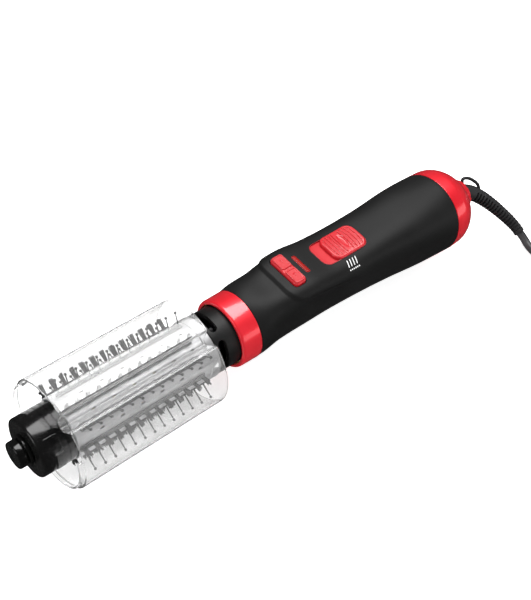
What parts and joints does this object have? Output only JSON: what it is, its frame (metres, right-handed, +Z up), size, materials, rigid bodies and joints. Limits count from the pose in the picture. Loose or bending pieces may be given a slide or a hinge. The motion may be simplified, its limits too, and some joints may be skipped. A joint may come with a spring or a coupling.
{
  "type": "hot air brush",
  "caption": "Rotating hot air styling brush in a clear grooved sleeve, with a contoured handle, rocker and slide switches, ribbed bend guard, coiled lead and plug.",
  "frame": {"origin": "centre of the brush's outline, without its free cord, on the surface that it lies on", "axes": "+X from the tip to the cord exit, +Z up through the controls, +Y to the far side from the cover's groove"},
  "size_m": [0.4137, 0.1285, 0.058],
  "materials": {
    "soft_black": "soft-touch matte charcoal",
    "black_gloss": "polished black",
    "red_metal": "metallic red lacquer",
    "red_gloss": "glossy red",
    "lens_red": "tinted translucent",
    "dark_metal": "dark anodised",
    "clear": "clear, polished",
    "rubber": "satin black",
    "steel": "satin",
    "brass": "machined",
    "mica": "mica board",
    "board_green": "solder mask"
  },
  "bodies": {
    "handle": {"upper_shell": "soft_black", "lower_shell": "soft_black", "front_collar": "red_metal", "rear_cap": "red_metal", "inlet_screen": "soft_black", "shell_screw_1": "steel", "shell_screw_2": "steel", "inner_chassis": "soft_black", "control_board": "board_green", "rocker_bracket": "soft_black", "rocker_pin": "steel", "microswitch_left": "soft_black", "microswitch_right": "soft_black", "indicator_lens": "lens_red", "indicator_lamp": "lens_red", "slide_tray": "red_gloss", "slide_switch": "soft_black", "fan_duct": "soft_black", "fan_motor": "steel", "hub_bush": "brass", "gearbox_plate": "soft_black", "gear_motor": "steel", "heater_tube": "mica", "heater_mount": "steel", "heater_frame": "mica", "heater_coil": "steel", "thermostat": "brass", "swivel_bush": "soft_black", "cord_guard": "rubber", "hanging_loop": "rubber", "cord_lead": "rubber", "cord_coil": "rubber", "cord_tail": "rubber", "mains_plug": "rubber", "plug_pin_1": "steel", "plug_pin_2": "steel", "inner_lead": "rubber"},
    "hub": {"drive_hub": "soft_black"},
    "pinion": {"drive_pinion": "brass"},
    "fan": {"fan_impeller": "soft_black"},
    "brush_head": {"brush_barrel": "dark_metal", "tuft_row_1": "soft_black", "tuft_row_2": "soft_black", "tuft_row_3": "soft_black", "tuft_row_4": "soft_black", "tuft_row_5": "soft_black", "pin_row_1": "soft_black", "pin_row_2": "soft_black", "pin_row_3": "soft_black", "pin_row_4": "soft_black", "pin_row_5": "soft_black", "end_cap": "black_gloss", "tip_screw": "steel"},
    "cool_tip": {"tip_knob": "black_gloss"},
    "cover": {"clear_cover": "clear"},
    "rocker": {"rocker_button": "red_gloss"},
    "slider": {"slide_knob": "red_gloss"}
  },
  "joints": [
    {"name": "brush_spin", "type": "hinge", "parent": "handle", "child": "hub", "pos_m": [-0.035, 0, 0.029], "axis": [1, 0, 0], "continuous": true},
    {"name": "pinion_spin", "type": "hinge", "parent": "handle", "child": "pinion", "pos_m": [-0.024, 0, 0.0182], "axis": [1, 0, 0], "continuous": true},
    {"name": "fan_spin", "type": "hinge", "parent": "handle", "child": "fan", "pos_m": [0.11, 0, 0.029], "axis": [1, 0, 0], "continuous": true},
    {"name": "head_pull", "type": "slide", "parent": "hub", "child": "brush_head", "axis": [-1, 0, 0], "range_m": [0, 0.09]},
    {"name": "tip_turn", "type": "hinge", "parent": "brush_head", "child": "cool_tip", "pos_m": [-0.15, 0, 0.029], "axis": [1, 0, 0], "continuous": true},
    {"name": "cover_pull", "type": "slide", "parent": "brush_head", "child": "cover", "axis": [-1, 0, 0], "range_m": [0, 0.1]},
    {"name": "rocker_tilt", "type": "hinge", "parent": "handle", "child": "rocker", "pos_m": [0.01075, 0, 0.04649], "axis": [1, 0, 0], "range_deg": [-5, 5], "stiffness_Nm_per_rad": 0.06},
    {"name": "slide_shift", "type": "slide", "parent": "handle", "child": "slider", "axis": [-1, 0, 0], "range_m": [0, 0.0068]}
  ],
  "couplings": [
    {"joint": "pinion_spin", "follows": "brush_spin", "ratio": 4.8571}
  ]
}
